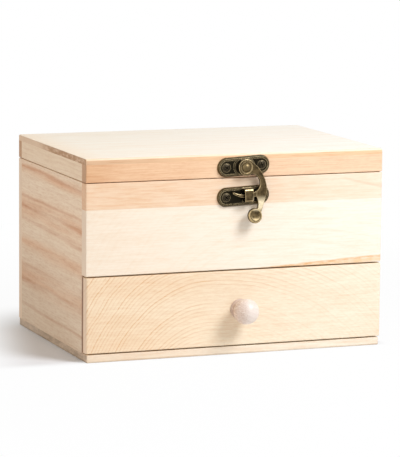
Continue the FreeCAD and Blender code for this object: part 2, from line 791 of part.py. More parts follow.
def pieces():
    """Every piece of the box in its shut position."""
    made = {
        "base_panel": base_panel(),
        "left_side_panel": left_side_panel(),
        "upper_front_panel": upper_front_panel(),
        "back_panel": back_panel(),
        "compartment_floor": compartment_floor(),
        "catch_plate": catch_plate(),
        "catch_plate_screws": plate_screws(catch_z, catch_lean),
        "left_hinge_body_leaf": hinge_leaf(-1, -1),
        "right_hinge_body_leaf": hinge_leaf(1, -1),
        "left_hinge_pin": hinge_pin(-1),
        "right_hinge_pin": hinge_pin(1),
        "hinge_body_screws": hinge_screws(-1),
        "lid_top_panel": lid_top_panel(),
        "lid_front_rail": lid_front_rail(),
        "lid_back_rail": lid_back_rail(),
        "lid_left_rail": lid_left_rail(),
        "latch_plate": latch_plate(),
        "latch_plate_screws": plate_screws(latch_z, latch_lean),
        "pivot_rivet": pivot_rivet(),
        "left_hinge_lid_leaf": hinge_leaf(-1, 1),
        "right_hinge_lid_leaf": hinge_leaf(1, 1),
        "hinge_lid_screws": hinge_screws(1),
        "latch_hook": latch_hook(),
        "drawer_front": drawer_front(),
        "drawer_left_side": drawer_left_side(),
        "drawer_back": drawer_back(),
        "drawer_bottom": drawer_bottom(),
        "drawer_knob": drawer_knob(),
        "knob_screw": knob_screw(),
    }
    made["right_side_panel"] = mirrored(made["left_side_panel"])
    made["lid_right_rail"] = mirrored(made["lid_left_rail"])
    made["drawer_right_side"] = mirrored(made["drawer_left_side"])
    return made


os.makedirs("parts", exist_ok=True)
for name, shape in pieces().items():
    shape.exportStep("parts/" + name + ".step")
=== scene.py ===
import json
import math
from functools import cached_property
from typing import NamedTuple

import bpy
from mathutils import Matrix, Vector


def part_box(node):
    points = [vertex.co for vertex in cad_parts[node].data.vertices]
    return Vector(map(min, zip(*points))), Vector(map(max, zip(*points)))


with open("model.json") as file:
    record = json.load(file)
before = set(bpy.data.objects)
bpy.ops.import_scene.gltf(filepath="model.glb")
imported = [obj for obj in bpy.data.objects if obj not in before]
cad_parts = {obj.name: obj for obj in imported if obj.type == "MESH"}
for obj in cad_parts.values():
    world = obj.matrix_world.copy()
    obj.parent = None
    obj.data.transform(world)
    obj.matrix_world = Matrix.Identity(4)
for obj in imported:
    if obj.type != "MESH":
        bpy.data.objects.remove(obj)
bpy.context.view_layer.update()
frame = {"nodes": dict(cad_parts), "record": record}

# A bare-wood paint box: a lid held by a horn latch, a deep compartment, and a drawer with a turned knob.
# The studio is in metres. Inside a finish, all lengths are millimetres of the box at rest. A pair of
# numbers gives the two ends of a change, and a name that ends in x, y or z is a place along that axis.

MM = 1000.0
ALONG_X = 0
ALONG_Y = 1


def corners(node):
    """A piece's lowest and highest corners at rest, in millimetres."""
    return [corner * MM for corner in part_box(node)]


front_low, front_high = corners("upper_front_panel")
drawer_low, drawer_high = corners("drawer_front")
box_left, box_right = front_low.x, front_high.x
box_front = front_low.y
box_top = corners("lid_top_panel")[1].z
knob_low = corners("drawer_knob")[0]
hook_low = corners("latch_hook")[0]


# ---------------------------------------------------------------- shader maths

class Value:
    """What one node puts out. Sums, products and the rest add Math nodes to its finish."""

    def __init__(self, finish, socket):
        self.finish = finish
        self.socket = socket

    def math(self, operation, *inputs):
        return self.finish.add("Math", {"operation": operation}, dict(enumerate(inputs)))

    def __add__(self, other):
        return self.math("ADD", self, other)

    def __radd__(self, other):
        return self.math("ADD", other, self)

    def __sub__(self, other):
        return self.math("SUBTRACT", self, other)

    def __rsub__(self, other):
        return self.math("SUBTRACT", other, self)

    def __mul__(self, other):
        return self.math("MULTIPLY", self, other)

    def __rmul__(self, other):
        return self.math("MULTIPLY", other, self)

    def __truediv__(self, other):
        return self.math("DIVIDE", self, other)

    def __pow__(self, power):
        return self.math("POWER", self, power)

    def __neg__(self):
        return self.math("MULTIPLY", self, -1.0)

    def __abs__(self):
        return self.math("ABSOLUTE", self)

    def least(self, other):
        return self.math("MINIMUM", self, other)

    def most(self, other):
        return self.math("MAXIMUM", self, other)

    def floor(self):
        return self.math("FLOOR", self)

    def ramp(self, start, end):
        """0 at start and 1 at end, smooth between and held beyond them."""
        return self.finish.add("MapRange", {"interpolation_type": "SMOOTHSTEP"},
                               {"Value": self, "From Min": start, "From Max": end})

    def above(self, place, blur):
        """0 below a place and 1 above it, blurred to that distance on either side."""
        return self.ramp(place - blur, place + blur)

    def between(self, first, second):
        """The first number at 0, the second at 1, and in proportion in between."""
        return first + (second - first) * self

    def band(self, middle, half_width):
        """1 at the middle, fading to 0 at half a width on either side."""
        return abs(self - middle).ramp(half_width, 0.0)

    def output(self, name):
        """Another output of the same node."""
        return Value(self.finish, self.socket.node.outputs[name])


class Mottle(NamedTuple):
    """Cloudy variation: the length of a cloud along X, Y and Z, an offset of its own, and how fine it is."""
    size: tuple
    offset: tuple = (0.0, 0.0, 0.0)
    detail: float = 2.0
    roughness: float = 0.5


class Finish:
    """The shader nodes of one material, or of the world, in the making."""

    samples = 8     # of the surface around a point, for its edges and recesses

    # A Mix node has a socket of the same name for each kind of value, so those for colours go by number.
    mix_share, mix_first, mix_second = 0, 6, 7
    mix_colour = 2

    def __init__(self, owner):
        self.owner = owner
        owner.use_nodes = True
        self.tree = owner.node_tree
        self.tree.nodes.clear()

    def add(self, kind, settings, sockets, output=0):
        """One node: its settings first, then the values or links of its sockets."""
        node = self.tree.nodes.new("ShaderNode" + kind)
        for name, value in settings.items():
            setattr(node, name, value)
        for key, value in sockets.items():
            if isinstance(value, Value):
                self.tree.links.new(value.socket, node.inputs[key])
            else:
                node.inputs[key].default_value = value
        return Value(self, node.outputs[output]) if node.outputs else None

    @cached_property
    def coordinates(self):
        """The point on the piece at rest, in metres."""
        return self.add("TexCoord", {}, {}, "Object")

    def seen_directly(self):
        """1 for what the camera sees straight, in a mirror or through glass, and 0 for light that falls."""
        path = self.add("LightPath", {}, {}, "Is Camera Ray")
        return path.most(path.output("Is Glossy Ray")).most(path.output("Is Transmission Ray"))

    def place(self, size=(1.0, 1.0, 1.0), offset=(0.0, 0.0, 0.0)):
        """The point on the piece, counted in steps of the given size in millimetres."""
        scale = [MM / length for length in size]
        return self.add("VectorMath", {"operation": "MULTIPLY_ADD"},
                        {0: self.coordinates, 1: scale, 2: offset})

    def axes(self, vector):
        """The three numbers of a vector."""
        first = self.add("SeparateXYZ", {}, {"Vector": vector})
        return first, first.output("Y"), first.output("Z")

    def facing(self):
        """How far the surface turns to each axis of the piece, from -1 to 1."""
        return self.axes(self.coordinates.output("Normal"))

    def mottle(self, layer):
        """Cloudy variation from 0 to 1 about a half."""
        return self.add("TexNoise", {}, {"Vector": self.place(layer.size, layer.offset), "Scale": 1.0,
                                         "Detail": layer.detail, "Roughness": layer.roughness})

    def blend(self, share, first, second, way="MIX"):
        """A colour between two others."""
        sockets = {self.mix_share: share, self.mix_first: first, self.mix_second: second}
        return self.add("Mix", {"data_type": "RGBA", "blend_type": way}, sockets, self.mix_colour)

    def stain(self, share, colour, dye):
        """A colour seen through a transparent dye."""
        return self.blend(share, colour, dye, "MULTIPLY")

    def shade(self, colour, amount):
        """A colour made lighter or darker."""
        if not isinstance(colour, Value):
            colour = colour[:3]     # a vector has no fourth number
        return self.add("VectorMath", {"operation": "SCALE"}, {0: colour, "Scale": amount})

    def worn_edge(self, radius):
        """Above 0 along edges and in corners, and 0 at a radius in millimetres from them."""
        eased = self.add("Bevel", {"samples": self.samples}, {"Radius": radius / MM})
        flat = self.add("NewGeometry", {}, {}, "Normal")
        return 1.0 - self.add("VectorMath", {"operation": "DOT_PRODUCT"}, {0: eased, 1: flat}, "Value")

    def recess(self, reach):
        """How closed in the surface is by what stands within a reach in millimetres, from 0 to 1."""
        return 1.0 - self.add("AmbientOcclusion", {"samples": self.samples}, {"Distance": reach / MM}, "AO")

    def relief(self, height, depth):
        """A surface normal from a height of 0 to 1 that stands for a depth in millimetres."""
        return self.add("Bump", {}, {"Height": height, "Distance": depth / MM, "Strength": 1.0})

    def surface(self, varied, constants):
        """The finished surface: what varies is linked, what is the same all over is set."""
        shader = self.add("BsdfPrincipled", {}, {**varied, **constants})
        self.add("OutputMaterial", {}, {"Surface": shader})
        return self.owner


def new_finish(name):
    """A material with no nodes yet."""
    return Finish(bpy.data.materials.new(name))


def tint(red, green, blue):
    """A colour given as the eye reads it, from 0 to 255, in the renderer's linear terms."""
    def linear(part):
        share = part / 255
        return share / 12.92 if share <= 0.04045 else ((share + 0.055) / 1.055) ** 2.4
    return (linear(red), linear(green), linear(blue), 1.0)


white = (1.0, 1.0, 1.0, 1.0)


# ---------------------------------------------------------------- growth rings

glue_line_z = front_high.z - 13.2     # between the upper front's two boards
ring_lean = 0.5                       # of flat-sawn rings, through the thickness of their board
strip_closeness = 1.7                 # of the rings above the glue line, against those below it
knob_lean = 0.4


def along_board(across, edge, edge_slope, length, drift):
    """Rings that run the length of a board, counted across its face and over its edge."""
    return across + edge * edge_slope + length * drift


def straight_rings(x, y, z):
    """Quarter-sawn boards along X: almost straight lines on the face and the edge."""
    return along_board(z, edge=y, edge_slope=0.8, length=x, drift=0.006)


def side_rings(x, y, z):
    """Boards whose grain runs front to back: the side walls, the lid's side rails, the drawer's boards."""
    return along_board(z, edge=x, edge_slope=0.7, length=y, drift=0.01)


def lid_top_rings(x, y, z):
    """The lid's top, sawn so that wide, soft lines run along X."""
    return along_board(y, edge=z, edge_slope=0.9, length=x, drift=0.03)


def oval_rings(x, z, middle_x, middle_z, left_reach, right_reach, height):
    """Nested ovals about a point below the board, with a reach of their own on either side."""
    side = x - middle_x
    across = side.least(0.0) / left_reach + side.most(0.0) / right_reach
    up = (z - middle_z) / height
    return (across * across + up * up) ** 0.5 * height


def drawer_rings(x, y, z):
    """The drawer front: the arches of a flat-sawn board, steep at the left and level at the top."""
    return oval_rings(x, z + y * ring_lean, middle_x=drawer_low.x + 67.0, middle_z=drawer_low.z - 78.0,
                      left_reach=68.0, right_reach=106.0, height=88.0)


def front_rings(x, y, z):
    """The upper front and the back: faint arches below the glue line's height, straight lines above."""
    arches = oval_rings(x, z + y * ring_lean, middle_x=front_low.x + 95.0, middle_z=front_low.z - 60.0,
                        left_reach=88.0, right_reach=190.0, height=80.0)
    strip = z.above(glue_line_z, blur=0.1)
    return arches * (1.0 - strip) + straight_rings(x, y, z) * strip_closeness * strip


def knob_rings(x, z):
    """The knob, turned with its grain along Y."""
    return z + x * knob_lean


def ring_of(distance, gap):
    """The ring that a point lies in, and how far through it the point is, from 0 to 1."""
    turn = distance / gap
    ring = turn.floor()
    return ring, turn - ring


# ---------------------------------------------------------------- marks that only some boards have

class Spot(NamedTuple):
    """A point on a board in millimetres, and the slow clouding of the wood there, from -0.5 to 0.5."""
    x: Value
    y: Value
    z: Value
    cloud: Value


sawn_end = (0.6, 0.9)                 # how far a face turns to the left or right to be one


def no_marks(finish, colour, spot):
    """A board with nothing of its own."""
    return colour


# ---- the upper front: a darker strip glued on above, a pink streak in it, an amber wedge below

strip_dye = tint(250, 234, 220)
strip_line_dye = tint(246, 226, 206)
strip_lines = Mottle(size=(15.0, 1.1, 1.1), offset=(9.0, 1.0, 4.0), detail=3.0, roughness=0.65)
strip_line_range = (0.36, 0.72)
# the strip's darker left end is partly painted shade, partly the board's own tone
strip_paler_x = (-60.0, 80.0)
strip_strength = (1.0, 0.55)          # these two are at the darker and the paler end
strip_line_strength = (0.75, 0.35)
strip_blur = 0.12

streak_pink = tint(232, 170, 128)
streak_start_x = 60.0
streak_fade_x = (56.0, 65.0)
streak_drop = 2.6                     # below the board's top edge, where the streak starts
streak_slope = 0.24
streak_wander = 2.0
streak_half_width = 1.2
streak_strength = 0.3

wedge_amber = tint(236, 190, 134)
wedge_edge_brown = tint(208, 148, 90)
wedge_lumps = Mottle(size=(5.0, 1.1, 1.1), offset=(3.0, 6.0, 9.0), detail=3.0, roughness=0.6)
wedge_lump_range = (0.28, 0.66)
wedge_strength = (0.30, 0.80)         # between the lumps and in them
wedge_tip_x = 14.0
wedge_fade_x = (6.0, 20.0)
wedge_tip_rise = 0.5                  # above the board's lower edge
wedge_slope = 0.052
wedge_wander = 0.8
wedge_top = (-0.4, 0.5)               # these three are measured down from the wedge's upper edge
wedge_foot = (4.2, 2.4)
wedge_edge = 0.7
wedge_edge_half_width = 0.9
wedge_edge_strength = 0.45

glue_brown = tint(190, 140, 104)
glue_half_width = 0.16
glue_strength = 0.18


def glued_strip(finish, colour, spot):
    """The strip above the glue line, paler to the right, with fine lines along it; its darker left is partly
    painted shade.
    """
    strip = spot.z.above(glue_line_z, strip_blur)
    paler = spot.x.ramp(*strip_paler_x)
    colour = finish.stain(strip * paler.between(*strip_strength), colour, strip_dye)
    lines = finish.mottle(strip_lines).ramp(*strip_line_range)
    return finish.stain(strip * lines * paler.between(*strip_line_strength), colour, strip_line_dye)


def pink_streak(finish, colour, spot):
    """A faint pink streak that slopes down to the right."""
    streak_z = front_high.z - streak_drop - (spot.x - streak_start_x) * streak_slope
    above = spot.z - streak_z + spot.cloud * streak_wander
    streak = above.band(0.0, streak_half_width) * spot.x.ramp(*streak_fade_x)
    return finish.blend(streak * streak_strength, colour, streak_pink)


def amber_wedge(finish, colour, spot):
    """A lumpy amber wedge that rises to the right, browner along its upper edge."""
    rise = wedge_tip_rise + (spot.x - wedge_tip_x) * wedge_slope + spot.cloud * wedge_wander
    below = front_low.z + rise - spot.z
    started = spot.x.ramp(*wedge_fade_x)
    wedge = below.ramp(*wedge_top) * below.ramp(*wedge_foot) * started
    upper_edge = below.band(wedge_edge, wedge_edge_half_width) * started
    lumps = finish.mottle(wedge_lumps).ramp(*wedge_lump_range)
    colour = finish.blend(wedge * lumps.between(*wedge_strength), colour, wedge_amber)
    return finish.blend(upper_edge * lumps * wedge_edge_strength, colour, wedge_edge_brown)


def front_marks(finish, colour, spot):
    """The strip, the streak, the wedge and the thin line of glue."""
    for mark in (glued_strip, pink_streak, amber_wedge):
        colour = mark(finish, colour, spot)
    glue = spot.z.band(glue_line_z, glue_half_width)
    return finish.blend(glue * glue_strength, colour, glue_brown)


# ---- the side walls: soft reddish bands from front to back, with thin broken streaks in them

side_bands = ((65.0, 11.0), (46.0, 7.0), (29.0, 10.0), (85.0, 5.0))      # height, half a width
side_band_dye = tint(242, 216, 199)
side_band_range = (0.15, 0.75)
side_band_strength = 0.9

side_streaks = ((86.0, 2.0), (71.0, 1.4), (65.5, 2.3), (58.0, 2.0), (34.5, 1.8), (25.5, 2.6), (12.5, 1.4))
side_streak_dye = tint(222, 190, 170)
side_streak_range = (0.28, 0.7)
side_streak_strength = 0.62
side_patches = Mottle(size=(14.0, 60.0, 4.0), offset=(3.1, 0.4, 7.7), detail=4.0, roughness=0.6)

side_fall = 0.018                     # of the bands and streaks towards the front
side_edge_fall = 0.055                # of the same through the wall's thickness
side_sway = Mottle(size=(40.0, 90.0, 18.0), offset=(6.0, 2.0, 1.0))
side_sway_height = 5.0

side_flecks = Mottle(size=(1.0, 5.0, 0.8), offset=(5.0, 8.0, 2.0))
side_fleck_dye = tint(232, 212, 196)
side_fleck_range = (0.45, 0.75)
side_fleck_strength = 0.35

side_painted_shade = (0.83, 1.01)             # painted shade, at the foot and at the top
side_painted_shade_z = (0.0, 75.0)


def side_marks(finish, colour, spot):
    """The bands, the streaks, scattered flecks, and painted shade that darkens the wall towards its foot."""
    sway = (finish.mottle(side_sway) - 0.5) * side_sway_height
    height = spot.z - spot.y * side_fall + (spot.x - box_left) * side_edge_fall + sway
    patchy = finish.mottle(side_patches)
    for middle, half_width in side_bands:
        band = height.band(middle, half_width) * patchy.ramp(*side_band_range)
        colour = finish.stain(band * side_band_strength, colour, side_band_dye)
    for middle, half_width in side_streaks:
        streak = height.band(middle, half_width) * patchy.ramp(*side_streak_range)
        colour = finish.stain(streak * side_streak_strength, colour, side_streak_dye)
    flecks = finish.mottle(side_flecks).ramp(*side_fleck_range)
    colour = finish.stain(flecks * side_fleck_strength, colour, side_fleck_dye)
    # painted shade, darker towards the wall's foot
    return finish.shade(colour, spot.z.ramp(*side_painted_shade_z).between(*side_painted_shade))


# ---- the lid's top: bleached on its face, warm tan on its long edges, ragged on its sawn ends

# partly painted shade, partly the board's own warmer tone, at the left end
lid_left_shade_and_tone_dye = tint(255, 247, 239)
lid_left_x = (-62.0, -84.0)
# painted shade on the rolled front edge
lid_rolled_shade_dye = tint(249, 237, 222)
lid_rolled = (0.02, 0.45)             # how far a face turns to the front

lid_edge_tan = tint(238, 197, 156)
lid_edge = (0.8, 0.97)                # how far a face turns to the front or the back
# partly painted shade, partly the edge's own tone, towards the left
lid_edge_left_shade_and_tone_dye = tint(233, 232, 234)
lid_edge_left_x = (10.0, -84.0)
lid_edge_line_brown = tint(190, 132, 90)
lid_edge_lines = Mottle(size=(14.0, 0.5, 0.5), offset=(7.0, 3.0, 5.0))
lid_edge_line_range = (0.5, 0.72)
lid_edge_line_strength = 0.5

lid_end = (0.5, 0.8)                  # how far a face turns to the left or the right
lid_ragged_dye = tint(204, 184, 166)
lid_ragged = Mottle(size=(3.0, 5.0, 1.6), offset=(2.0, 5.0, 3.0), detail=3.0, roughness=0.6)
lid_ragged_range = (0.2, 0.6)
lid_ragged_y = (26.0, -4.0)


def lid_top_marks(finish, colour, spot):
    """The warmer left end, darker partly by painted shade; painted shade on the rolled front; the long edges
    with fine lines, darker to the left partly by painted shade; and the ragged sawn ends.
    """
    turned_x, turned_y, _ = finish.facing()
    # partly painted shade at the left end
    colour = finish.stain(spot.x.ramp(*lid_left_x), colour, lid_left_shade_and_tone_dye)
    # painted shade on the rolled front
    colour = finish.stain((-turned_y).ramp(*lid_rolled), colour, lid_rolled_shade_dye)
    edge = abs(turned_y).ramp(*lid_edge)
    lines = finish.mottle(lid_edge_lines).ramp(*lid_edge_line_range)
    colour = finish.blend(edge, colour, lid_edge_tan)
    # partly painted shade on the long edges towards the left
    colour = finish.stain(edge * spot.x.ramp(*lid_edge_left_x), colour, lid_edge_left_shade_and_tone_dye)
    colour = finish.blend(edge * lines * lid_edge_line_strength, colour, lid_edge_line_brown)
    patch = abs(turned_x).ramp(*lid_end) * spot.y.ramp(*lid_ragged_y)
    ragged = finish.mottle(lid_ragged).ramp(*lid_ragged_range)
    return finish.stain(patch * ragged, colour, lid_ragged_dye)


# ---- the lid's front and back rails

# partly painted shade, partly the board's own tone, towards the left end
rail_left_shade_and_tone_dye = tint(241, 231, 221)
rail_left_x = (-56.0, -82.0)
rail_strength = 0.9


def rail_marks(finish, colour, spot):
    """Darker towards the left end, partly painted shade and partly the board's own tone."""
    left = spot.x.ramp(*rail_left_x)
    return finish.stain(left * (rail_strength + spot.cloud), colour, rail_left_shade_and_tone_dye)


# ---- the base: two planks, glued edge to edge

base_joint_y = box_front + 78.0
base_joint_half_width = 0.5
base_joint_brown = tint(96, 72, 56)
base_joint_strength = 0.7

base_end_dye = tint(206, 206, 205)
base_end_strength = (0.45, 1.0)       # these two are outside the ragged patches and in them
base_front_end_dye = tint(236, 232, 226)
base_front_end_strength = (0.4, 1.0)
base_front_end_y = (base_joint_y, base_joint_y - 3.0)
base_ragged = Mottle(size=(3.0, 7.0, 1.8), offset=(7.0, 2.0, 3.0), detail=3.0, roughness=0.6)
base_ragged_range = (0.25, 0.65)

# painted shade along the base's lower edge, where it stands on the floor
base_foot_shade_dye = tint(206, 200, 192)
base_foot_shade_strength = 0.6
base_foot_shade_z = (1.1, 0.2)


def base_marks(finish, colour, spot):
    """The sawn ends, browner on the front plank, the glue joint, and painted shade along the lower edge."""
    turned_x, _, _ = finish.facing()
    end = abs(turned_x).ramp(*sawn_end)
    ragged = finish.mottle(base_ragged).ramp(*base_ragged_range)
    colour = finish.stain(end * ragged.between(*base_end_strength), colour, base_end_dye)
    front_end = end * spot.y.ramp(*base_front_end_y)
    colour = finish.stain(front_end * ragged.between(*base_front_end_strength), colour, base_front_end_dye)
    joint = spot.y.band(base_joint_y, base_joint_half_width)
    colour = finish.blend(joint * base_joint_strength, colour, base_joint_brown)
    # painted shade along the lower edge
    foot_shade = spot.z.ramp(*base_foot_shade_z) * (base_foot_shade_strength + spot.cloud)
    return finish.stain(foot_shade, colour, base_foot_shade_dye)


# ---- the drawer front

drawer_warm = tint(240, 190, 144)
drawer_warm_x = (10.0, -70.0)
drawer_warm_level = 0.4
drawer_warm_strength = 0.30
# painted shade along the back of the drawer front's ends, by the gap to the side walls
gap_shade_brown = tint(120, 74, 46)
gap_shade_y = (drawer_high.y - 2.4, drawer_high.y - 1.2)
gap_shade_strength = 0.85


def drawer_marks(finish, colour, spot):
    """Warm clouding towards the left, and painted shade along the back of its ends, by the gap to the side
    walls.
    """
    warm = spot.x.ramp(*drawer_warm_x) * (drawer_warm_level + spot.cloud).most(0.0)
    colour = finish.blend(warm * drawer_warm_strength, colour, drawer_warm)
    turned_x, _, _ = finish.facing()
    # painted shade in the gap to the side walls
    gap_shade = abs(turned_x).ramp(*sawn_end) * spot.y.ramp(*gap_shade_y)
    return finish.blend(gap_shade * gap_shade_strength, colour, gap_shade_brown)


# ---------------------------------------------------------------- how clearly a board's rings show

drawer_left_x = (8.0, -52.0)
drawer_top_z = (drawer_high.z - 18.0, drawer_high.z - 4.0)
drawer_top_x = (95.0, 20.0)
drawer_top_strength = 0.5
drawer_faintest = 0.2


def all_over(x, z):
    """As clear at one place as at another."""
    return 1.0


def drawer_clear(x, z):
    """On the drawer front the rings are clear at the left and along the top, and faint elsewhere."""
    left = x.ramp(*drawer_left_x)
    top = z.ramp(*drawer_top_z) * x.ramp(*drawer_top_x) * drawer_top_strength
    return left.most(top).between(drawer_faintest, 1.0)


# ---------------------------------------------------------------- bare wood

# Layers of a board that runs along X. On one along Y their first two sizes change places.
ring_drift = Mottle(size=(70.0, 15.0, 15.0))
ring_wobble = Mottle(size=(16.0, 2.6, 2.6))
fibre_layer = Mottle(size=(11.0, 0.42, 0.42), offset=(5.0, 2.0, 8.0), detail=3.0, roughness=0.6)
streak_layer = Mottle(size=(17.0, 1.2, 1.2), offset=(8.0, 3.0, 6.0), detail=3.0, roughness=0.6)
ray_layer = Mottle(size=(2.4, 0.75, 0.75), offset=(6.0, 1.0, 2.0), detail=2.0, roughness=0.6)
pore_layer = Mottle(size=(3.2, 0.2, 0.2), offset=(1.0, 9.0, 4.0), detail=1.0)
cloud_layer = Mottle(size=(60.0, 11.0, 11.0), offset=(2.0, 7.0, 3.0), detail=3.0)
saw_layer = Mottle(size=(3.0, 0.35, 30.0), offset=(4.0, 4.0, 4.0))

wobble_height = 0.7
line_full = 0.92                      # how far through a ring its dark line is at its darkest
line_end = (1.0, 0.93)
faintest_year = 0.15
pore_range = (0.66, 0.78)
ground_tone = 0.12
ray_tone = 0.4
pore_tone = 0.12
cloud_tone = 0.35
# painted shade, with some of the boards' own tone, towards the box's left end
left_shade_and_tone_x = (90.0, -95.0)

cut_range = (0.55, 0.85)              # how far a face turns along the grain to be end grain
cut_strength = 0.8
saw_shade = (0.86, 1.14)

corner_reach = 1.1
rim_reach = 0.9
handled_share = (0.5, 1.0)            # where the wood's clouds are pale and where they are dark
handled_shade = 0.93

wood_roughness = 0.70
wood_gloss = 0.28
wood_depth = 0.045


def handled_places(x, y, z, cloud):
    """The box's upright corners and the lid's left and right rims, which hands darken and rub smooth."""
    side, end = abs(x), abs(y)
    corner = (side.ramp(box_right - corner_reach, box_right)
              * end.ramp(-box_front - corner_reach, -box_front))
    rim = z.ramp(box_top - rim_reach, box_top) * side.ramp(box_right - rim_reach, box_right)
    return corner.most(rim) * cloud.between(*handled_share)


def wood(name, pale, deep, end, rings, gap, bold, along=ALONG_X, marks=no_marks, clear=all_over,
         line_start=0.25, wander=2.2, fibre=0.16, streaky=0.3, left_shade_and_tone_dye=white):
    """Bare sanded wood, solid through the board: rings, fibres, pores, end grain and handled corners.

    The rings lie a gap apart and wander by some millimetres. The dark line of each starts part of the way
    through it. How bold the lines are, and how much fibres and streaks show, is told from 0 to 1. The left
    dye, partly painted shade and partly the boards' own tone, comes in towards the box's left end."""
    finish = new_finish(name)
    x, y, z = finish.axes(finish.place())

    def grain(layer):
        """A layer, turned to lie along the board."""
        length, width, height = layer.size
        size = (length, width, height) if along == ALONG_X else (width, length, height)
        return finish.mottle(layer._replace(size=size))

    drift = (grain(ring_drift) - 0.5) * (wander * 2)
    wobble = (grain(ring_wobble) - 0.5) * wobble_height
    ring, part = ring_of(rings(x, y, z) + drift + wobble, gap)
    year = finish.add("TexWhiteNoise", {"noise_dimensions": "1D"}, {"W": ring})
    line = part.ramp(line_start, line_full) * part.ramp(*line_end)
    line = line * year.between(faintest_year, 1.0) * clear(x, z)

    fibres = grain(fibre_layer)
    streaks = grain(streak_layer)
    rays = grain(ray_layer)
    pores = grain(pore_layer).ramp(*pore_range)
    cloud = grain(cloud_layer)
    late = line * (0.5 + streaks)
    tone = (ground_tone + late * bold + (fibres - 0.5) * (fibre * 2) + (streaks - 0.5) * (streaky * 2)
            + (rays - 0.5) * ray_tone + pores * pore_tone + (cloud - 0.5) * cloud_tone)
    colour = finish.blend(tone.most(0.0).least(1.0), pale, deep)
    # partly painted shade, partly the board's own tone, darker towards the left
    colour = finish.stain(x.ramp(*left_shade_and_tone_x), colour, left_shade_and_tone_dye)

    cut = abs(finish.facing()[along]).ramp(*cut_range)
    saw = grain(saw_layer)
    colour = finish.blend(cut * cut_strength, colour, finish.shade(end, saw.between(*saw_shade)))
    colour = marks(finish, colour, Spot(x, y, z, cloud - 0.5))
    handled = handled_places(x, y, z, cloud)
    colour = finish.shade(colour, handled.between(1.0, handled_shade))

    height = fibres * 0.6 + late * 0.25 - pores * 0.8 + cut * saw * 0.5
    return finish.surface(
        {"Base Color": colour,
         "Roughness": wood_roughness + 0.12 * (fibres - 0.5) - 0.08 * late - 0.10 * handled,
         "Normal": finish.relief(height, wood_depth)},
        {"Specular IOR Level": wood_gloss})


# ---------------------------------------------------------------- plywood

ply_drift = Mottle(size=(90.0, 16.0, 40.0))
ply_drift_height = 14.0
ply_fibres = Mottle(size=(12.0, 0.5, 0.5), offset=(2.0, 6.0, 1.0), detail=3.0, roughness=0.6)
ply_gap = 6.5
ply_line = (0.2, 0.95)
ply_line_end = (1.0, 0.94)
ply_edge = (0.8, 0.4)                 # how little a face turns up or down to be an edge
ply_roughness = 0.68
ply_depth = 0.03


def plywood(name, pale, deep):
    """Thin three-ply: a plain face veneer, darker at the edges."""
    finish = new_finish(name)
    _, y, _ = finish.axes(finish.place())
    drift = (finish.mottle(ply_drift) - 0.5) * ply_drift_height
    _, part = ring_of(y + drift, ply_gap)
    late = part.ramp(*ply_line) * part.ramp(*ply_line_end)
    fibres = finish.mottle(ply_fibres)
    _, _, turned_z = finish.facing()
    edge = abs(turned_z).ramp(*ply_edge)
    tone = late * 0.22 + fibres * 0.6 + edge * 0.3
    return finish.surface(
        {"Base Color": finish.blend(tone.least(1.0), pale, deep),
         "Roughness": ply_roughness + 0.1 * fibres,
         "Normal": finish.relief(fibres + late * 0.3, ply_depth)},
        {"Specular IOR Level": wood_gloss})


# ---------------------------------------------------------------- the turned knob

knob_drift = Mottle(size=(6.0, 14.0, 6.0))
knob_drift_height = 4.0
knob_fibres = Mottle(size=(0.35, 3.0, 0.35), offset=(3.0, 5.0, 2.0), detail=3.0, roughness=0.6)
lathe_lines = Mottle(size=(900.0, 0.30, 900.0), detail=1.0)
knob_gap = 2.3
knob_line = (0.1, 0.95)
foot_y = (knob_low.y + 9.4, knob_low.y + 11.4)
knob_foot_shade_strength = 0.55
heart_and_shade_x = (knob_low.x + 7.0, knob_low.x + 1.5)    # darker heartwood streaks and painted shade at the knob's left
heart_fibres = (0.3, 0.6)
heart_and_shade_strength = 0.8
heart_and_shade_dye = tint(226, 206, 192)
# painted shade on the knob's foot
knob_foot_painted_shade = tint(176, 146, 128)
knob_tone = 0.22
knob_roughness = 0.34
knob_gloss = 0.6
knob_depth = 0.03


def turned_wood(name, pale, deep):
    """The knob: pale, close-grained, polished by the lathe, with faint turning rings, painted shade on its
    foot, and a left side darkened by heartwood streaks and painted shade.
    """
    finish = new_finish(name)
    x, y, z = finish.axes(finish.place())
    drift = (finish.mottle(knob_drift) - 0.5) * knob_drift_height
    _, part = ring_of(knob_rings(x, z) + drift, knob_gap)
    late = part.ramp(*knob_line)
    fibres = finish.mottle(knob_fibres)
    lathe = finish.mottle(lathe_lines)
    foot = y.ramp(*foot_y)
    tone = knob_tone + late * 0.16 + (fibres - 0.5) * 1.1 + (lathe - 0.5) * 0.2
    colour = finish.blend(tone.most(0.0).least(1.0), pale, deep)
    # heartwood streaks and painted shade darken the knob's left side
    heart_and_shade = x.ramp(*heart_and_shade_x) * fibres.ramp(*heart_fibres)
    colour = finish.stain(heart_and_shade * heart_and_shade_strength, colour, heart_and_shade_dye)
    return finish.surface(
        # painted shade on the foot
        {"Base Color": finish.blend(foot * knob_foot_shade_strength, colour, knob_foot_painted_shade),
         "Roughness": knob_roughness + 0.12 * fibres + 0.1 * foot,
         "Normal": finish.relief((fibres + lathe) * 0.5, knob_depth)},
        {"Specular IOR Level": knob_gloss})


# ---------------------------------------------------------------- metal

hook_back_y = box_front - 2.05        # the hook stands in front of this, the plates behind it
hook_blur = 0.08
neck_x = hook_low.x + 11.0
neck_z = hook_low.z + 9.8
neck_reach = 4.5
neck_left_x = (neck_x - 1.5, neck_x)
# painted highlight on the hook's neck, and how much of it shows
neck_painted_highlight = tint(240, 226, 194)
neck_highlight_strength = 0.7
neck_highlight_share = 0.9
thumb_z = (neck_z - 2.6, neck_z - 4.0)

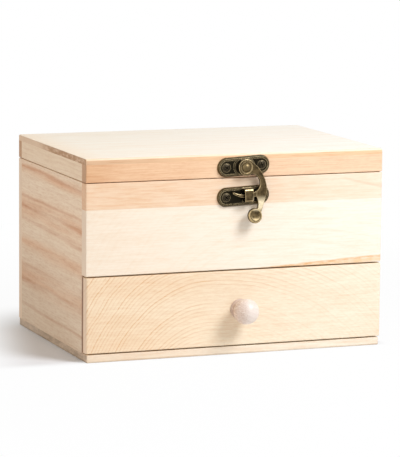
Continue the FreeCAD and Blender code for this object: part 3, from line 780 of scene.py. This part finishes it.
rim_outer, rim_inner = (0.3, 0.6), (0.95, 0.85)   # how far a rim's slope turns to the front
edge_radius = 0.65
edge_range = (0.006, 0.07)
scuff_layer = Mottle(size=(1.8, 1.8, 1.8), detail=3.0)
scuff_range = (0.1, 0.5)
scuff_shade = (0.7, 1.3)
arm_bronze = tint(86, 72, 49)
arm_scuff_range = (0.32, 0.66)
arm_shade = (0.55, 1.45)
# grime, and painted shade in slots and crevices, blacken the recesses
grime_and_shade_black = tint(18, 16, 12)
grime_and_shade_reach = 1.4
grime_and_shade_range = (0.22, 0.62)
grime_and_shade_strength = 0.8
cast_layer = Mottle(size=(0.5, 0.5, 0.5), offset=(2.0, 4.0, 6.0), detail=3.0, roughness=0.6)
cast_depth = 0.02
bronze_roughness = 0.42
smoothest = 0.2

blotch_layer = Mottle(size=(1.6, 1.6, 1.6), detail=3.0)
blotch_depth = 0.01
steel_roughness = (0.28, 0.48)


def no_hook(x, y, z):
    """A fitting with no arm, neck or thumb piece."""
    return 0.0, 0.0, 0.0


def hook_places(x, y, z):
    """The hook, its neck over the thumb piece, and the thumb piece itself, each from 0 to 1."""
    arm = (hook_back_y - y).above(0.0, hook_blur)
    neck = z.band(neck_z, neck_reach) * x.ramp(*neck_left_x) * arm
    thumb = z.ramp(*thumb_z) * arm
    return arm, neck, thumb


def antique_bronze(name, patina, brass, worn, places=no_hook):
    """Bronze plating, worn bright on rims and edges, and blackened in its recesses by grime and painted
    shade.

    The hook has a mottled tone of its own, and a painted highlight on its neck."""
    finish = new_finish(name)
    arm, neck, thumb = places(*finish.axes(finish.place()))
    _, turned_y, _ = finish.facing()
    scuff = finish.mottle(scuff_layer)
    cast = finish.mottle(cast_layer)
    rim = (-turned_y).ramp(*rim_outer) * (-turned_y).ramp(*rim_inner)
    edge = finish.worn_edge(edge_radius).ramp(*edge_range)
    # grime and painted shade in the recesses, found by occlusion
    grime_and_shade = finish.recess(grime_and_shade_reach).ramp(*grime_and_shade_range)
    wear_and_highlight = (rim * (0.3 + 0.6 * arm)).most(edge * (0.8 + 0.2 * arm))
    # wear on rims and edges, then the painted highlight on the neck
    wear_and_highlight = (wear_and_highlight * scuff.ramp(*scuff_range) * (1.0 - grime_and_shade) * worn).most(neck * neck_highlight_share)
    ground = finish.shade(patina, scuff.between(*scuff_shade))
    arm_ground = finish.shade(arm_bronze, scuff.ramp(*arm_scuff_range).between(*arm_shade))
    ground = finish.blend(arm, ground, arm_ground)
    ground = finish.blend(grime_and_shade * grime_and_shade_strength, ground, grime_and_shade_black)
    colour = finish.blend(wear_and_highlight.least(1.0), ground, brass)
    roughness = (bronze_roughness + 0.30 * (cast - 0.5) + 0.2 * grime_and_shade - 0.08 * wear_and_highlight
                 + 0.22 * thumb - 0.12 * neck)
    return finish.surface(
        # the painted highlight on the neck, in a paler brass
        {"Base Color": finish.blend(neck * neck_highlight_strength, colour, neck_painted_highlight),
         "Roughness": roughness.most(smoothest),
         "Normal": finish.relief(cast, cast_depth)},
        {"Metallic": 1.0})


def plated_steel(name, pale, deep):
    """Zinc-plated steel with faint blotches."""
    finish = new_finish(name)
    blotch = finish.mottle(blotch_layer)
    return finish.surface(
        {"Base Color": finish.blend(blotch, deep, pale),
         "Roughness": blotch.between(*steel_roughness),
         "Normal": finish.relief(blotch, blotch_depth)},
        {"Metallic": 1.0})


# ---------------------------------------------------------------- every finish of the box

strip_end = tint(243, 218, 194)
dull_end = tint(232, 204, 176)
rail_end = tint(208, 174, 146)

finishes = {
    "lid_top_wood": (wood, dict(
        pale=tint(255, 252, 243), deep=tint(246, 224, 200), end=dull_end, rings=lid_top_rings, gap=5.2,
        bold=0.28, marks=lid_top_marks, streaky=0.34, left_shade_and_tone_dye=tint(255, 252, 247))),
    "lid_rail_wood": (wood, dict(
        pale=tint(241, 208, 174), deep=tint(212, 154, 114), end=rail_end, rings=straight_rings, gap=1.15,
        bold=0.2, marks=rail_marks, fibre=0.42, streaky=0.4, left_shade_and_tone_dye=tint(250, 241, 231))),
    "lid_side_wood": (wood, dict(
        pale=tint(250, 227, 199), deep=tint(221, 183, 147), end=strip_end, rings=side_rings, gap=2.6,
        bold=0.2, along=ALONG_Y, line_start=0.1, fibre=0.30, streaky=0.4)),
    "front_wood": (wood, dict(
        pale=tint(247, 238, 222), deep=tint(235, 210, 178), end=strip_end, rings=front_rings, gap=2.9,
        bold=0.12, marks=front_marks, fibre=0.22, streaky=0.42, left_shade_and_tone_dye=tint(252, 246, 241))),
    "drawer_face_wood": (wood, dict(
        pale=tint(246, 233, 210), deep=tint(214, 164, 108), end=strip_end, rings=drawer_rings, gap=1.9,
        bold=0.62, marks=drawer_marks, clear=drawer_clear, line_start=0.5, wander=1.7, fibre=0.26,
        streaky=0.18, left_shade_and_tone_dye=tint(253, 246, 237))),
    "base_wood": (wood, dict(
        pale=tint(245, 233, 214), deep=tint(222, 185, 148), end=strip_end, rings=straight_rings, gap=2.2,
        bold=0.3, marks=base_marks, streaky=0.45, left_shade_and_tone_dye=tint(251, 245, 239))),
    "side_wood": (wood, dict(
        pale=tint(251, 229, 203), deep=tint(223, 185, 151), end=strip_end, rings=side_rings, gap=3.4,
        bold=0.16, along=ALONG_Y, marks=side_marks, line_start=0.0, fibre=0.30, streaky=0.45)),
    "back_wood": (wood, dict(
        pale=tint(244, 222, 192), deep=tint(224, 180, 138), end=strip_end, rings=front_rings, gap=2.6,
        bold=0.4, line_start=0.4)),
    "drawer_side_wood": (wood, dict(
        pale=tint(246, 226, 196), deep=tint(228, 186, 146), end=strip_end, rings=side_rings, gap=2.4,
        bold=0.4, along=ALONG_Y, line_start=0.4)),
    "thin_ply": (plywood, dict(pale=tint(246, 224, 190), deep=tint(220, 178, 132))),
    "knob_wood": (turned_wood, dict(pale=tint(241, 229, 219), deep=tint(210, 190, 176))),
    "antique_bronze": (antique_bronze, dict(
        patina=tint(36, 32, 23), brass=tint(208, 186, 142), worn=0.9, places=hook_places)),
    "rivet_brass": (antique_bronze, dict(patina=tint(112, 96, 68), brass=tint(168, 148, 106), worn=0.5)),
    "hinge_bronze": (antique_bronze, dict(patina=tint(76, 60, 42), brass=tint(190, 158, 104), worn=0.8)),
    "dark_screw": (antique_bronze, dict(patina=tint(56, 50, 40), brass=tint(118, 104, 78), worn=0.4)),
    "knob_screw_steel": (plated_steel, dict(pale=tint(206, 206, 202), deep=tint(168, 168, 166))),
}
materials = {slot: make(slot, **choices) for slot, (make, choices) in finishes.items()}

for subpart in frame["record"]["subparts"]:
    node = frame["nodes"][subpart["node"]]
    node.data.materials.clear()
    node.data.materials.append(materials[subpart["material_slot"]])


# ---------------------------------------------------------------- studio

floor_size = 6.0
floor_paint = (0.83, 0.845, 0.87, 1.0)
shadow_left = (86.0, 122.0)           # where the box's shadow on the floor ends, in millimetres
shadow_front = (-47.0, -59.5)
shadow_back = (38.0, 116.0)
shadow_right = (80.5, 86.0)
shadow_skew = 0.25                    # of its left end, further out towards the front
near_white = 0.95                     # the share of pure white close to the box
far_white = (150.0, 400.0)            # and how far out that grows to 1

sky_level = 0.485
sky_tone = (1.0, 0.94, 0.87, 1.0)
key_tone = (0.97, 1.0, 1.06)
fill_tone = sky_tone[:3]
lamp_aim = Vector((0.0, 0.0, 0.05))
sensor_width = 36.0


def studio_floor():
    """A wide pale floor that shows the box's shadow and is otherwise white to the camera."""
    half = floor_size / 2
    square = [(-half, -half, 0), (half, -half, 0), (half, half, 0), (-half, half, 0)]
    mesh = bpy.data.meshes.new("studio_floor")
    mesh.from_pydata(square, [], [(0, 1, 2, 3)])
    floor = bpy.data.objects.new("studio_floor", mesh)
    bpy.context.scene.collection.objects.link(floor)
    finish = new_finish("studio_floor")
    paint = finish.add("BsdfDiffuse", {}, {"Color": floor_paint})
    glow = finish.add("Emission", {}, {"Color": white, "Strength": 1.0})
    x, y, _ = finish.axes(finish.place())
    shadow = 1.0 - (y * shadow_skew - x).ramp(*shadow_left)
    for place, limits in ((y, shadow_front), (y, shadow_back), (x, shadow_right)):
        shadow = shadow * (1.0 - place.ramp(*limits))
    far = ((x * x + y * y) ** 0.5).ramp(*far_white)
    share = finish.seen_directly() * (1.0 - shadow) * far.between(near_white, 1.0)
    surface = finish.add("MixShader", {}, {0: share, 1: paint, 2: glow})
    finish.add("OutputMaterial", {}, {"Surface": surface})
    mesh.materials.append(finish.owner)


def studio_world():
    """White all round, at full strength only where it is seen directly or in a reflection."""
    world = bpy.data.worlds.new("studio_world")
    bpy.context.scene.world = world
    finish = Finish(world)
    seen = finish.seen_directly()
    sky = finish.add("Background", {}, {"Color": finish.blend(seen, sky_tone, white),
                                        "Strength": seen.between(sky_level, 1.0)})
    finish.add("OutputWorld", {}, {"Surface": sky})


def studio_lamp(name, direction, distance, size, power, tone):
    """A round soft lamp that shines on the middle of the box from a direction."""
    lamp = bpy.data.objects.new(name, bpy.data.lights.new(name, "AREA"))
    lamp.data.shape = "DISK"
    lamp.data.size = size
    lamp.data.energy = power
    lamp.data.color = tone
    lamp.location = lamp_aim + Vector(direction).normalized() * distance
    lamp.rotation_euler = (lamp_aim - lamp.location).to_track_quat("-Z", "Y").to_euler()
    bpy.context.scene.collection.objects.link(lamp)


def studio_camera(location, tilt, roll, turn, lens):
    """A long lens a little above the box and to its left. Its angles are in degrees."""
    camera = bpy.data.objects.new("studio_camera", bpy.data.cameras.new("studio_camera"))
    camera.data.sensor_width = sensor_width
    camera.data.lens = lens
    camera.location = location
    camera.rotation_euler = [math.radians(angle) for angle in (tilt, roll, turn)]
    bpy.context.scene.collection.objects.link(camera)
    bpy.context.scene.camera = camera


studio_floor()
studio_world()
studio_lamp("key_lamp", (0.62, -1.0, 1.02), distance=0.75, size=0.34, power=4.03, tone=key_tone)
studio_lamp("fill_lamp", (-1.0, -0.25, 0.35), distance=1.0, size=0.60, power=1.5, tone=fill_tone)
studio_camera(location=(-0.51061, -1.33652, 0.27021), tilt=81.492, roll=-0.508, turn=-20.899,
              lens=218.22)
bpy.context.scene.view_settings.view_transform = "Standard"
